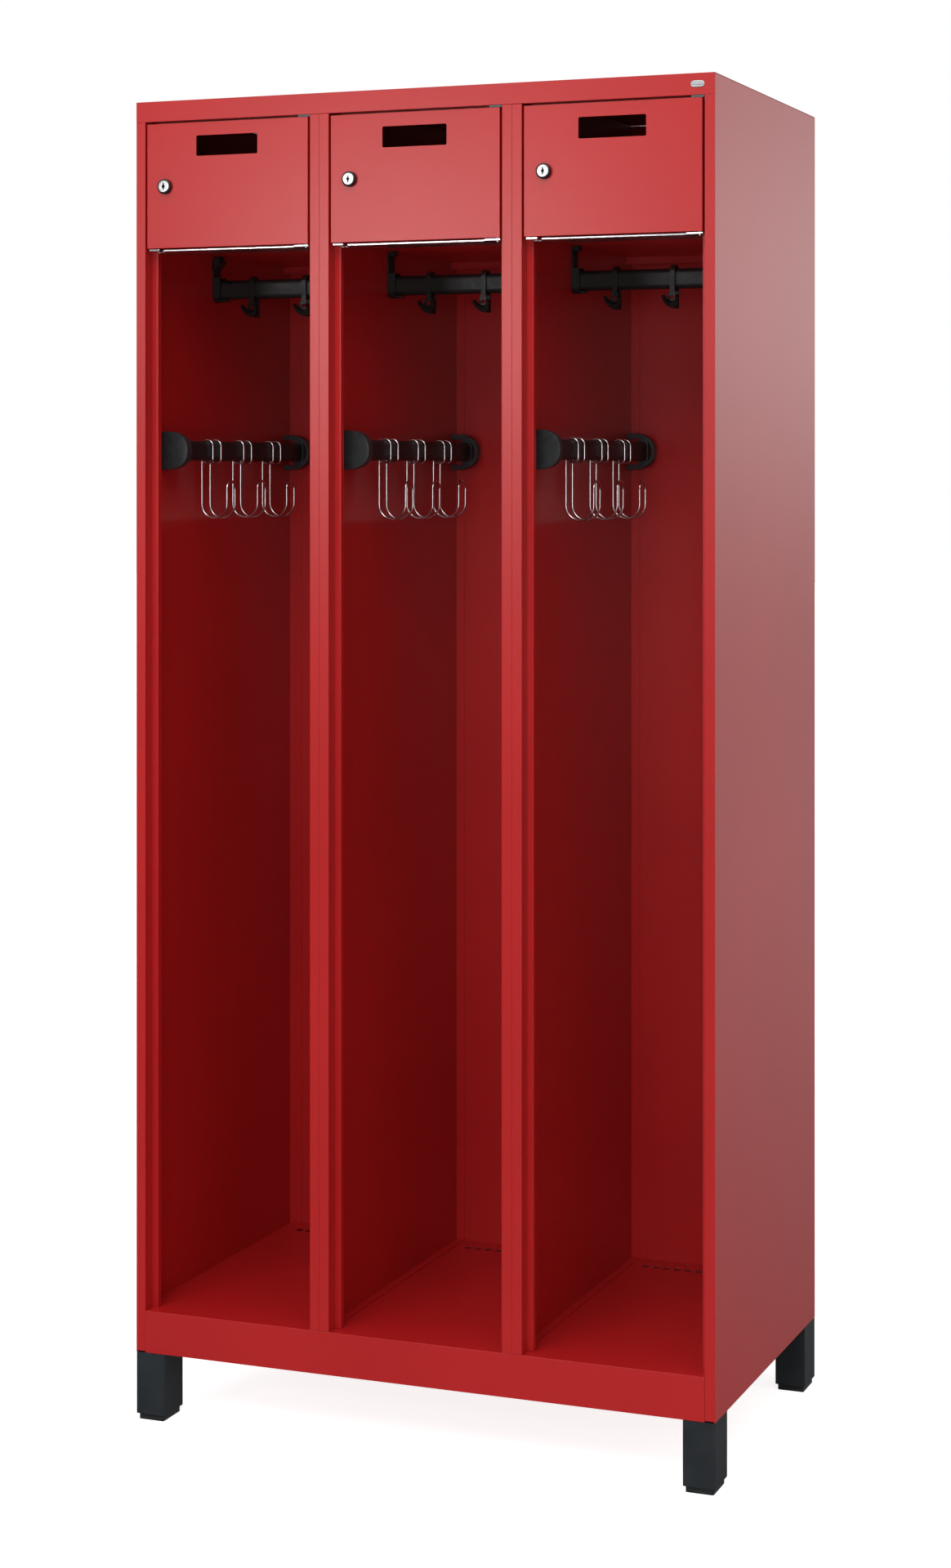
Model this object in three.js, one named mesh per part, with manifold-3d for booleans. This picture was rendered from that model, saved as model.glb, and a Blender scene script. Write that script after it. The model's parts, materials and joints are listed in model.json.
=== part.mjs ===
// Sheet-steel locker for three users: open wardrobe bays, a small lockable door above each one.
// Millimetres, +Z up, X across the front, the doors face -Y. The origin is on the ground,
// under the middle of the overall box.

import * as THREE from 'three';
import { mergeVertices } from 'three/addons/utils/BufferGeometryUtils.js';
import Module from 'manifold-3d';

const wasm = await Module();
wasm.setup();

// ---- driving dimensions -------------------------------------------------------------------

const bodyWidth = 900;
const bodyDepth = 500;
const bodyTop = 1950;
const legHeight = 100;          // the carcass starts this far above the ground
const bayPitch = 300;
const sheet = 1;                // steel sheet
const gap = 0.3;                // clearance between touching pieces
const pinPlay = 0.3;            // radial clearance round pins and lock bodies

const stile = {
  face: 15,                     // width of the front face of one half post
  returnDepth: 21,              // from the front face back to the door stop
  stop: 9.5,                    // width of the door stop
  tail: 10,                     // fold behind the door stop
  seam: 0.4,                    // joint line down the middle of a double post
};
const topRail = { height: 30, stopHeight: 9.5 };
const footRail = { height: 62, returnDepth: 30 };
const sideFaceLift = 2;         // the side panels' front face stops above the foot rail's lower edge
const rearFlange = { side: 22, partition: 14 };
const floorFlange = 13;

const vent = { width: 11, depth: 15.5, pitch: 17.5, count: 14, fromBack: 35.75 };

const shelf = {
  underside: 1740,
  fromBack: 25,
  lipDrop: 11,
  channelBottom: 1728,
  channelDepth: 57,
  channelSetback: 0.6,
  frontLip: 2.4,
  tabs: [[-129, -105], [108, 132]],   // raised ends of the front lip, from the bay's middle
  tabLip: 2.7,
  notch: [-112, -105],
  notchDepth: 3,
};

const door = {
  width: 263,
  bottom: 1733,
  height: 183.4,
  depth: 19,
  rearReturn: 12,
  slotWidth: 100,
  slotHeight: 30,
  slotRadius: 2,
  slotBelowTop: 34.4,           // from the top edge to the middle of the slot
  hingeFromEdge: 4.5,
  hingeFromFace: 4,
};
const hinge = { pinRadius: 2, blockWidth: 19.7, blockDepth: 13.6, blockHeight: 3, pinTop: 1924 };

const lock = {
  fromMiddle: -101,
  height: 1823.5,
  collarRadius: 11,
  collarProud: 6.4,
  faceRadius: 8.75,
  proud: 7,
  bodyRadius: 8,
  plugRadius: 5.5,
  slotWidth: 1.4,
  slotHeight: 9,
  slotDepth: 2.5,
  camY: -217,
  camThick: 2,
  camWidth: 13,
  camReach: 33,
};

const rail = { height: 30, thick: 15, middleY: -8, middleZ: 1687 };
const railBracket = {
  plate: 3, width: 22.5, bottom: 1668, collarLength: 10, collarTop: 1706, collarDrop: 7,
  footReach: 13, footTop: 1734, footBottom: 1729, gusset: 1718, pegWidth: 8.5, pegLength: 14,
  lip: 9, lipThick: 2.7, lipWidth: 12,
};
const slidingHook = {
  places: [-81, 9], strap: 8, play: 0.5, wall: 2.5, top: 1707.5, eyeZ: 1659, eyeRadius: 3,
  eyeOuter: 7.7, bottom: 1643.5, prongHalf: 13, prongRise: 20, prongThick: 5, prongLean: 40,
};

const bar = { height: 30, thick: 15, fromWall: 26, middleZ: 1435, front: -176.7, rear: 235.7 };
const barBracket = {
  reach: 45, half: 28.6, band: 8, sideBand: 4, depth: 15, bossHalf: 9.5, cover: 3,
  frontY: -180, rearY: 239, endWall: 3,
};
const wireHook = {
  places: [-70, 30, 130], wire: 1.5, spread: 13, strandFromBar: 9.5, topZ: 1452.4,
  loopBottomZ: 1417.5, corner: 6.5, endFromStrand: 2.8, bendRadius: 22, bottomZ: 1331, tipZ: 1388.5,
};

const leg = { width: 47, depth: 56, glide: 9, glideInset: 3, spigotTop: 160.7 };
const badge = { x: 425, z: 1935, width: 20, height: 9, thick: 0.8 };

// ---- values worked out from them ----------------------------------------------------------

const halfWidth = bodyWidth / 2;
const front = -bodyDepth / 2;
const back = bodyDepth / 2;
const backInside = back - sheet - gap;          // where the rear flanges lie against the back panel
const stopY = front + stile.returnDepth;        // face of the door stops
const tailY = stopY + stile.tail;
const floorTop = legHeight + footRail.height;
const railBottom = bodyTop - topRail.height;
const underTop = bodyTop - sheet - gap;
const bays = [-bayPitch, 0, bayPitch];
const leftWall = [-halfWidth + sheet, -bayPitch / 2 + sheet / 2, bayPitch / 2 + sheet / 2];
const rightWall = leftWall.map((x) => -x).reverse();
const opening = bayPitch / 2 - stile.face;      // half the width between two posts
const stopInside = opening - stile.stop;
const doorTop = door.bottom + door.height;
const hingeX = door.width / 2 - door.hingeFromEdge;
const hingeY = front + door.hingeFromFace;

// ---- materials ----------------------------------------------------------------------------

const redPaint = new THREE.MeshStandardMaterial({ color: 0xb32025, roughness: 0.45, metalness: 0 });
const blackPlastic = new THREE.MeshStandardMaterial({ color: 0x1b1b1c, roughness: 0.55, metalness: 0 });
const greyPlastic = new THREE.MeshStandardMaterial({ color: 0x47494a, roughness: 0.6, metalness: 0 });
const anthracite = new THREE.MeshStandardMaterial({ color: 0x2f3336, roughness: 0.5, metalness: 0 });
const chrome = new THREE.MeshStandardMaterial({ color: 0xd8d8d8, roughness: 0.15, metalness: 1 });
const brightSteel = new THREE.MeshStandardMaterial({ color: 0xc9ccce, roughness: 0.3, metalness: 1 });

// ---- building blocks ----------------------------------------------------------------------

const arcSteps = 4;
const xAxis = new THREE.Vector3(1, 0, 0);
const yAxis = new THREE.Vector3(0, 1, 0);
const zAxis = new THREE.Vector3(0, 0, 1);
const planes = {
  xy: new THREE.Matrix4().makeBasis(xAxis, yAxis, zAxis),
  yz: new THREE.Matrix4().makeBasis(yAxis, zAxis, xAxis),
  zx: new THREE.Matrix4().makeBasis(zAxis, xAxis, yAxis),
};

function toSolid(geometry) {
  geometry.deleteAttribute('normal');
  geometry.deleteAttribute('uv');
  const merged = mergeVertices(geometry, 1e-4);
  return new wasm.Manifold(new wasm.Mesh({
    numProp: 3,
    vertProperties: new Float32Array(merged.attributes.position.array),
    triVerts: new Uint32Array(merged.index.array),
  }));
}

function toGeometry(solid) {
  const mesh = solid.getMesh();
  const geometry = new THREE.BufferGeometry();
  geometry.setAttribute('position', new THREE.BufferAttribute(new Float32Array(mesh.vertProperties), 3));
  geometry.setIndex(new THREE.BufferAttribute(new Uint32Array(mesh.triVerts), 1));
  geometry.computeVertexNormals();
  return geometry;
}

// Box from a low and a high corner.
function block(x0, x1, y0, y1, z0, z1) {
  const geometry = new THREE.BoxGeometry(x1 - x0, y1 - y0, z1 - z0);
  geometry.translate((x0 + x1) / 2, (y0 + y1) / 2, (z0 + z1) / 2);
  return toSolid(geometry);
}

// Extrudes an outline of [a, b] points, given in the plane named, along the third axis.
function prism(points, plane, from, to) {
  const outline = plane === 'xz' ? points.map(([a, b]) => [b, a]) : points;
  const shape = new THREE.Shape(outline.map(([a, b]) => new THREE.Vector2(a, b)));
  const geometry = new THREE.ExtrudeGeometry(shape, { depth: to - from, bevelEnabled: false });
  geometry.translate(0, 0, from);
  geometry.applyMatrix4(planes[plane === 'xz' ? 'zx' : plane]);
  return toSolid(geometry);
}

// Outline of a bent sheet: the path of its outer face, and the same path moved left by its thickness.
function folded(path, thickness = sheet) {
  const inner = path.map((point, i) => {
    const [x, y] = point;
    const before = path[Math.max(i - 1, 0)];
    const after = path[Math.min(i + 1, path.length - 1)];
    const first = i > 0 ? direction(before, point) : direction(point, after);
    const second = i < path.length - 1 ? direction(point, after) : first;
    const share = thickness / (1 + first[0] * second[0] + first[1] * second[1]);
    return [x - (first[1] + second[1]) * share, y + (first[0] + second[0]) * share];
  });
  return [...path, ...inner.reverse()];
}

function direction([ax, ay], [bx, by]) {
  const length = Math.hypot(bx - ax, by - ay);
  return [(bx - ax) / length, (by - ay) / length];
}

// Flat oval, long in its second axis.
function oval(a, b, thick, height) {
  const radius = thick / 2;
  const straight = height / 2 - radius;
  const points = [];
  for (let i = 0; i <= 2 * arcSteps; i += 1) {
    const turn = Math.PI * i / (2 * arcSteps);
    points.push([a + radius * Math.cos(turn), b + straight + radius * Math.sin(turn)]);
  }
  for (let i = 0; i <= 2 * arcSteps; i += 1) {
    const turn = Math.PI + Math.PI * i / (2 * arcSteps);
    points.push([a + radius * Math.cos(turn), b - straight + radius * Math.sin(turn)]);
  }
  return points;
}

function circle(a, b, radius, sides = 16) {
  const points = [];
  for (let i = 0; i < sides; i += 1) {
    const turn = 2 * Math.PI * (i + 0.5) / sides;
    points.push([a + radius * Math.cos(turn), b + radius * Math.sin(turn)]);
  }
  return points;
}

function roundedRectangle(a, b, width, height, radius) {
  const points = [];
  for (let corner = 0; corner < 4; corner += 1) {
    const sideA = corner === 0 || corner === 3 ? 1 : -1;
    const sideB = corner < 2 ? 1 : -1;
    for (let i = 0; i <= 3; i += 1) {
      const turn = Math.PI / 2 * (corner + i / 3);
      points.push([
        a + sideA * (width / 2 - radius) + radius * Math.cos(turn),
        b + sideB * (height / 2 - radius) + radius * Math.sin(turn),
      ]);
    }
  }
  return points;
}

// A path with a station at each listed point, for sweeping wire.
class StationPath extends THREE.Curve {
  constructor(stations) {
    super();
    this.stations = stations;
  }

  getPoint(t, target = new THREE.Vector3()) {
    const place = t * (this.stations.length - 1);
    const index = Math.min(Math.round(place), this.stations.length - 1);
    return target.copy(this.stations[index]);
  }

  getPointAt(u, target) {
    return this.getPoint(u, target);
  }

  getTangentAt(u, target = new THREE.Vector3()) {
    const index = Math.round(u * (this.stations.length - 1));
    const here = this.stations[index];
    const before = this.stations[Math.max(index - 1, 0)];
    const after = this.stations[Math.min(index + 1, this.stations.length - 1)];
    const arriving = here.clone().sub(before).normalize();
    const leaving = after.clone().sub(here).normalize();
    return target.copy(arriving).add(leaving).normalize();
  }
}

const locker = new THREE.Group();
locker.position.y = lock.proud / 2;             // centres the overall box, lock faces included

function add(name, solid, material) {
  const mesh = new THREE.Mesh(toGeometry(solid), material);
  mesh.name = name;
  locker.add(mesh);
}

const mirrorX = (solid) => solid.mirror([1, 0, 0]);

// ---- carcass ------------------------------------------------------------------------------

// Left side panel. Its front edge is folded into half a post with a door stop, its rear edge into
// a flange for the back panel.
function sidePanel() {
  const wall = -halfWidth;
  const profile = folded([
    [wall + rearFlange.side, backInside],
    [wall, backInside],
    [wall, front],
    [wall + stile.face, front],
    [wall + stile.face, stopY],
    [wall + stile.face + stile.stop, stopY],
    [wall + stile.face + stile.stop, tailY],
  ]);
  const underRail = railBottom - gap;
  const postEnd = wall + stile.face + stile.stop + sheet;
  return prism(profile, 'xy', legHeight, underTop)
    .subtract(block(wall - sheet, postEnd, front - sheet, front + sheet + gap, underRail, bodyTop))
    .subtract(block(wall + sheet, postEnd, front, stopY - gap, underRail, bodyTop))
    .subtract(block(wall + sheet, postEnd, front - sheet, tailY + sheet, 0, legHeight + sideFaceLift));
}

// Partition. Its front is a double post with a joint line down the middle, and flanges on its
// right side meet the back panel and the floor.
function partition(x) {
  const post = (side) => folded([
    [x - side * sheet / 4, front],
    [x + side * stile.face, front],
    [x + side * stile.face, stopY],
    [x + side * (stile.face + stile.stop), stopY],
    [x + side * (stile.face + stile.stop), tailY],
  ], side * sheet);
  const low = floorTop + gap;
  const high = railBottom - gap;
  const web = sheet / 2;
  return prism(post(1), 'xy', low, high)
    .add(prism(post(-1), 'xy', low, high))
    .add(block(x - web, x + web, front + sheet / 2, backInside, low, high))
    .add(block(x - web, x + web, stopY + sheet + gap, backInside, low, underTop))
    .add(block(x - web, x + rearFlange.partition, backInside - sheet, backInside, low, underTop))
    .add(block(x - web, x + floorFlange, tailY + sheet, backInside, low, low + sheet))
    .subtract(block(x - stile.seam / 2, x + stile.seam / 2, front - sheet, front + sheet / 2, 0, bodyTop));
}

// Top panel with the front rail folded down from it and a door stop over each opening.
function topPanel() {
  const profile = folded([
    [back, bodyTop],
    [front, bodyTop],
    [front, railBottom],
    [stopY - gap, railBottom],
  ]);
  const inside = halfWidth - sheet - gap;
  let solid = prism(profile, 'yz', -halfWidth, halfWidth)
    .subtract(block(-halfWidth - 1, -inside, front + sheet, back, railBottom - 1, bodyTop - sheet))
    .subtract(block(inside, halfWidth + 1, front + sheet, back, railBottom - 1, bodyTop - sheet));
  for (const x of bays) {
    const half = stopInside - gap;
    solid = solid
      .add(block(x - half, x + half, stopY - sheet, stopY, railBottom - topRail.stopHeight, railBottom + sheet))
      .subtract(prism(circle(x + hingeX, hingeY, hinge.pinRadius + pinPlay, 12), 'xy', railBottom - 1, railBottom + 2));
  }
  return solid;
}

// Floor with the foot rail folded down at the front, a fold at the back and a row of vent holes.
function floorPanel() {
  const inside = halfWidth - sheet - gap;
  const railEnd = halfWidth - stile.face - gap;
  const postEnd = halfWidth - stile.face - stile.stop - gap;
  const legInside = halfWidth - leg.width - gap;
  const rearEnd = halfWidth - rearFlange.side - gap;
  let solid = block(-inside, inside, tailY + sheet, backInside, floorTop - sheet, floorTop)
    .add(block(-postEnd, postEnd, stopY - gap - sheet, tailY + 2 * sheet, floorTop - sheet, floorTop))
    .add(block(-railEnd, railEnd, front, stopY - gap, floorTop - sheet, floorTop))
    .add(block(-railEnd, railEnd, front, front + sheet, legHeight, floorTop))
    .add(block(-legInside, legInside, front, front + footRail.returnDepth, legHeight, legHeight + sheet))
    .add(block(-rearEnd, rearEnd, backInside - sheet, backInside, legHeight, floorTop))
    .subtract(block(-halfWidth, -rearEnd, backInside - sheet - gap, back, legHeight, floorTop + sheet))
    .subtract(block(rearEnd, halfWidth, backInside - sheet - gap, back, legHeight, floorTop + sheet));
  const first = -(vent.count - 1) / 2 * vent.pitch;
  const middleY = back - vent.fromBack;
  for (const x of bays) {
    for (let i = 0; i < vent.count; i += 1) {
      const at = x + first + i * vent.pitch;
      solid = solid.subtract(block(
        at - vent.width / 2, at + vent.width / 2,
        middleY - vent.depth / 2, middleY + vent.depth / 2,
        floorTop - 2 * sheet, floorTop + sheet,
      ));
    }
  }
  return solid;
}

const leftSide = sidePanel();
add('side_panel_left', leftSide, redPaint);
add('side_panel_right', mirrorX(leftSide), redPaint);
add('top_panel', topPanel(), redPaint);
add('floor_panel', floorPanel(), redPaint);
add('back_panel', block(-halfWidth, halfWidth, back - sheet, back, legHeight, underTop), redPaint);
add('partition_1', partition(-bayPitch / 2), redPaint);
add('partition_2', partition(bayPitch / 2), redPaint);

// ---- shelf under the small compartment -----------------------------------------------------

// The shelf's front is a bright channel that closes the gap under the door; its rear edge is
// folded down.
function shelfSolid(x, left, right) {
  const low = shelf.channelBottom;
  const tabTop = low + 2 * sheet;
  const lipY = front + shelf.channelSetback;
  const channelBack = front + 1 + shelf.channelDepth;
  const inner = stopInside - gap;
  const rearY = back - shelf.fromBack;
  const top = shelf.underside + sheet;
  let solid = block(left + gap, right - gap, channelBack - sheet, rearY, shelf.underside, top)
    .add(block(left + gap, right - gap, rearY - sheet, rearY, shelf.underside - shelf.lipDrop, top))
    .add(block(x - inner, x + inner, channelBack - sheet, channelBack, low, top))
    .add(block(x - inner, x + inner, stopY - sheet, channelBack, low, low + sheet))
    .add(block(x + shelf.notch[0], x + shelf.tabs[1][0], lipY, stopY, low, low + sheet))
    .add(block(x + shelf.notch[1], x + shelf.tabs[1][0], lipY, lipY + sheet, low, low + shelf.frontLip));
  for (const [start, end] of shelf.tabs) {
    solid = solid
      .add(block(x + start, x + end, lipY, stopY - gap, low + sheet, tabTop))
      .add(block(x + start, x + end, lipY, lipY + sheet, low + sheet, low + sheet + shelf.tabLip));
  }
  return solid.subtract(block(
    x + shelf.notch[0], x + shelf.notch[1], lipY - sheet, lipY + shelf.notchDepth, low - sheet, top,
  ));
}

// ---- door, hinge pin and lock --------------------------------------------------------------

// Door pan: front sheet with folded edges, letter slot, lock hole and hinge holes.
function doorSolid(x) {
  const half = door.width / 2;
  const rear = front + door.depth;
  const slotZ = doorTop - door.slotBelowTop;
  const pinHole = circle(x + hingeX, hingeY, hinge.pinRadius + pinPlay, 12);
  return block(x - half, x + half, front, rear, door.bottom, doorTop)
    .subtract(block(
      x - half + sheet, x + half - sheet, front + sheet, rear - sheet, door.bottom + sheet, doorTop - sheet,
    ))
    .subtract(block(
      x - half + door.rearReturn, x + half - door.rearReturn, rear - 2 * sheet, rear + sheet,
      door.bottom + door.rearReturn, doorTop - door.rearReturn,
    ))
    .subtract(prism(
      roundedRectangle(x, slotZ, door.slotWidth, door.slotHeight, door.slotRadius),
      'xz', front - sheet, front + 2 * sheet,
    ))
    .subtract(prism(
      circle(x + lock.fromMiddle, lock.height, lock.bodyRadius + pinPlay), 'xz', front - sheet, front + 2 * sheet,
    ))
    .subtract(prism(pinHole, 'xy', door.bottom - sheet, doorTop + sheet));
}

// Hinge pin with the grey bearing block that fills the gap over the door's corner.
function hingePin(x) {
  const blockRight = x + opening - gap;
  const bottom = shelf.channelBottom + 2 * sheet + gap;
  return prism(circle(x + hingeX, hingeY, hinge.pinRadius, 12), 'xy', bottom, hinge.pinTop)
    .add(block(
      blockRight - hinge.blockWidth, blockRight, front + gap, front + gap + hinge.blockDepth,
      doorTop + gap, doorTop + gap + hinge.blockHeight,
    ));
}

// Lock housing: black collar on the door's face and a threaded body through it.
function lockHousing(x) {
  const at = x + lock.fromMiddle;
  const bodyEnd = lock.camY - gap;
  return prism(circle(at, lock.height, lock.collarRadius, 20), 'xz', front - lock.collarProud, front - gap)
    .add(prism(circle(at, lock.height, lock.bodyRadius), 'xz', front - gap - 1, bodyEnd))
    .subtract(prism(circle(at, lock.height, lock.plugRadius + pinPlay), 'xz', front - lock.proud, bodyEnd + 1))
    .subtract(prism(
      circle(at, lock.height, lock.faceRadius + pinPlay, 20), 'xz', front - lock.proud, front - lock.collarProud + 1.5,
    ));
}

// Lock cylinder: chromed face with a key slot, plug, and the cam that turns behind the post.
function lockCylinder(x) {
  const at = x + lock.fromMiddle;
  const face = front - lock.proud;
  const camEnd = lock.camY + lock.camThick;
  const slotHalf = lock.slotWidth / 2;
  const camHalf = lock.camWidth / 2;
  return prism(circle(at, lock.height, lock.faceRadius, 20), 'xz', face, front - lock.collarProud + 1.2)
    .add(prism(circle(at, lock.height, lock.plugRadius), 'xz', face + 1, camEnd))
    .add(prism([
      [at - camHalf, lock.height + camHalf],
      [at + camHalf, lock.height + camHalf],
      [at + camHalf, lock.height - lock.camReach + 3],
      [at + camHalf - 3, lock.height - lock.camReach],
      [at - camHalf + 3, lock.height - lock.camReach],
      [at - camHalf, lock.height - lock.camReach + 3],
    ], 'xz', lock.camY, camEnd))
    .subtract(block(
      at - slotHalf, at + slotHalf, face - 1, face + lock.slotDepth,
      lock.height - lock.slotHeight / 2, lock.height + lock.slotHeight / 2,
    ))
    .subtract(prism(circle(at, lock.height, 2.1, 12), 'xz', face - 1, face + lock.slotDepth));
}

// ---- clothes rail across the bay ------------------------------------------------------------

// Bracket on the left wall: plate, open socket for the rail's end, and a foot under the shelf.
function railBracketSolid(wall) {
  const b = railBracket;
  const half = b.width / 2;
  const y0 = rail.middleY - half;
  const y1 = rail.middleY + half;
  const x0 = wall + gap;
  const x1 = wall + b.plate;
  const socketEnd = x1 + b.collarLength;
  const roundZ = b.bottom + half;
  const tongue = (top) => {
    const points = [[y1, top], [y0, top]];
    for (let i = 0; i <= 2 * arcSteps; i += 1) {
      const turn = Math.PI + Math.PI * i / (2 * arcSteps);
      points.push([rail.middleY + half * Math.cos(turn), roundZ + half * Math.sin(turn)]);
    }
    return points;
  };
  const socket = oval(rail.middleY, rail.middleZ + 10, rail.thick + 2 * gap, rail.height + 20 + 2 * gap);
  return prism(tongue(b.collarTop), 'yz', x1 - gap, socketEnd)
    .subtract(prism(socket, 'yz', x1, socketEnd + 1))
    .subtract(prism([
      [x1, b.collarTop], [socketEnd + 1, b.collarTop - b.collarDrop], [socketEnd + 1, b.collarTop + 1],
      [x1, b.collarTop + 1],
    ], 'xz', y0 - 1, y1 + 1))
    .add(prism(tongue(b.footTop), 'yz', x0, x1))
    .add(prism([
      [x0, b.gusset], [x1, b.gusset], [wall + b.footReach, b.footBottom], [wall + b.footReach, b.footTop],
      [x0, b.footTop],
    ], 'xz', y0, y1))
    .add(block(
      x1 - 1, x1 - 1 + b.pegWidth, rail.middleY - b.pegLength / 2, rail.middleY + b.pegLength / 2,
      b.footTop - 1, shelf.underside - gap,
    ))
    .add(block(
      socketEnd - 3, socketEnd + b.lip, rail.middleY - b.lipWidth / 2, rail.middleY + b.lipWidth / 2,
      b.bottom + 0.8, b.bottom + 0.8 + b.lipThick,
    ));
}

// Plastic hook that slides on the rail: a closed strap, an eye in front and a pair of prongs.
function slidingHookSolid(x) {
  const s = slidingHook;
  const innerHalf = rail.thick / 2 + s.play;
  const outerHalf = innerHalf + s.wall;
  const yFront = rail.middleY - outerHalf;
  const yRear = rail.middleY + outerHalf;
  const half = s.strap / 2;
  const railTop = rail.middleZ + rail.height / 2;
  const railLow = rail.middleZ - rail.height / 2;
  const outerLow = railLow - s.play - s.wall;
  const hole = oval(rail.middleY, rail.middleZ, 2 * innerHalf, rail.height + 2 * s.play);
  const ring = prism(
    oval(rail.middleY, (s.top + outerLow) / 2, 2 * outerHalf, s.top - outerLow), 'yz', x - half, x + half,
  ).subtract(prism(hole, 'yz', x - half - 1, x + half + 1));
  const rows = 6;
  const outer = [];
  const inner = [];
  for (let i = 0; i <= rows; i += 1) {
    const turn = Math.PI * (1 + i / rows);
    outer.push([s.prongHalf * Math.cos(turn), s.prongRise + s.prongRise * Math.sin(turn)]);
    inner.push([(s.prongHalf - 4.5) * Math.cos(turn), s.prongRise + (s.prongRise - 6) * Math.sin(turn)]);
  }
  const prongs = prism([...outer, ...inner.reverse()], 'xz', 0, s.prongThick)
    .rotate([s.prongLean, 0, 0])
    .translate([x, yFront, s.bottom]);
  return ring
    .add(block(x - half, x + half, yFront, yFront + s.wall, s.eyeZ, railLow + 5))
    .add(prism(circle(x, s.eyeZ, s.eyeOuter, 12), 'xz', yFront, yFront + s.wall))
    .add(block(x - half, x + half, yFront, yFront + s.wall, s.bottom, s.eyeZ - 5))
    .subtract(prism(circle(x, s.eyeZ, s.eyeRadius, 8), 'xz', yFront - 1, yFront + s.wall + 1))
    .add(block(x - half, x + half, yRear - s.wall, yRear, s.bottom, railLow + 5))
    .add(block(x - half, x + half, yFront, yRear, s.bottom, s.bottom + 3))
    .add(prongs);
}

// ---- coat bar on the left wall, front to back -----------------------------------------------

// Outline of a bar bracket: straight on the wall, bowed at the top and bottom, round in front.
function bracketOutline(reach, half, flat, side) {
  const shape = new THREE.Shape();
  const lean = half * 0.96;
  const knee = half * 0.73;
  shape.moveTo(0, half);
  shape.lineTo(flat, half);
  shape.bezierCurveTo(flat + 14, lean, reach - 1.5, knee, reach, side);
  shape.lineTo(reach, -side);
  shape.bezierCurveTo(reach - 1.5, -knee, flat + 14, -lean, flat, -half);
  shape.lineTo(0, -half);
  return shape.getPoints(arcSteps).map((p) => [p.x, p.y]);
}

// Bracket with an open frame and a socket for the bar. The front one is closed by a cover.
function barBracketSolid(wall, isFront) {
  const b = barBracket;
  const y0 = isFront ? b.frontY : b.rearY - b.depth;
  const y1 = y0 + b.depth;
  const place = (points) => points.map(([x, z]) => [wall + gap + x, bar.middleZ + z]);
  const barX = wall + bar.fromWall;
  const closed = isFront ? y0 + b.cover : y1 - b.endWall;
  const outer = prism(place(bracketOutline(b.reach, b.half, 14, 4)), 'xz', y0, y1);
  const hollow = place(bracketOutline(b.reach - b.sideBand, b.half - b.band, 18, 3))
    .map(([x, z]) => [x < wall + 1 ? wall - 1 : x, z]);
  const boss = oval(barX, bar.middleZ, 2 * b.bossHalf, 2 * (b.half - b.band) + 1);
  const socket = oval(barX, bar.middleZ, bar.thick + 2 * gap, bar.height + 2 * gap);
  return outer
    .subtract(prism(hollow, 'xz', isFront ? closed : y0 - 1, y1 + 1))
    .add(prism(boss, 'xz', y0 + 0.5, y1))
    .subtract(prism(socket, 'xz', isFront ? closed : y0 - 1, isFront ? y1 + 1 : closed));
}

// Chromed hook bent from one wire: both strands loop over the bar and run down to a double J.
function wireHookSolid(wall, y) {
  const w = wireHook;
  const barX = wall + bar.fromWall;
  const strandX = barX - w.strandFromBar;
  const loopX = barX + w.strandFromBar;
  const topCentre = w.topZ - w.strandFromBar;
  const bendCentre = w.bottomZ + w.bendRadius;
  const tipCentre = w.tipZ - w.spread;
  const tipSteps = 3;
  const half = [];
  const arc = (cx, cz, radius, from, to, steps) => {
    for (let i = 0; i <= steps; i += 1) {
      const turn = (from + (to - from) * i / steps) * Math.PI / 180;
      half.push([cx + radius * Math.cos(turn), w.spread, cz + radius * Math.sin(turn)]);
    }
  };
  half.push([strandX + w.endFromStrand, w.spread, w.loopBottomZ]);
  arc(loopX - w.corner, w.loopBottomZ + w.corner, w.corner, -90, 0, 2);
  arc(barX, topCentre, w.strandFromBar, 0, 180, 4);
  arc(strandX + w.bendRadius, bendCentre, w.bendRadius, 180, 360, 7);
  for (let i = 0; i < tipSteps; i += 1) {
    const turn = i / tipSteps * Math.PI / 2;
    half.push([
      strandX + 2 * w.bendRadius, w.spread * Math.cos(turn), tipCentre + w.spread * Math.sin(turn),
    ]);
  }
  const tip = [strandX + 2 * w.bendRadius, 0, w.tipZ];
  const other = half.map(([px, py, pz]) => [px, -py, pz]).reverse();
  const stations = [...half, tip, ...other].map(([px, py, pz]) => new THREE.Vector3(px, y + py, pz));
  const section = new THREE.Shape(circle(0, 0, w.wire, 6).map(([a, b]) => new THREE.Vector2(a, b)));
  return toSolid(new THREE.ExtrudeGeometry(section, {
    steps: stations.length - 1,
    extrudePath: new StationPath(stations),
    bevelEnabled: false,
  }));
}

// ---- the three bays -------------------------------------------------------------------------

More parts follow.
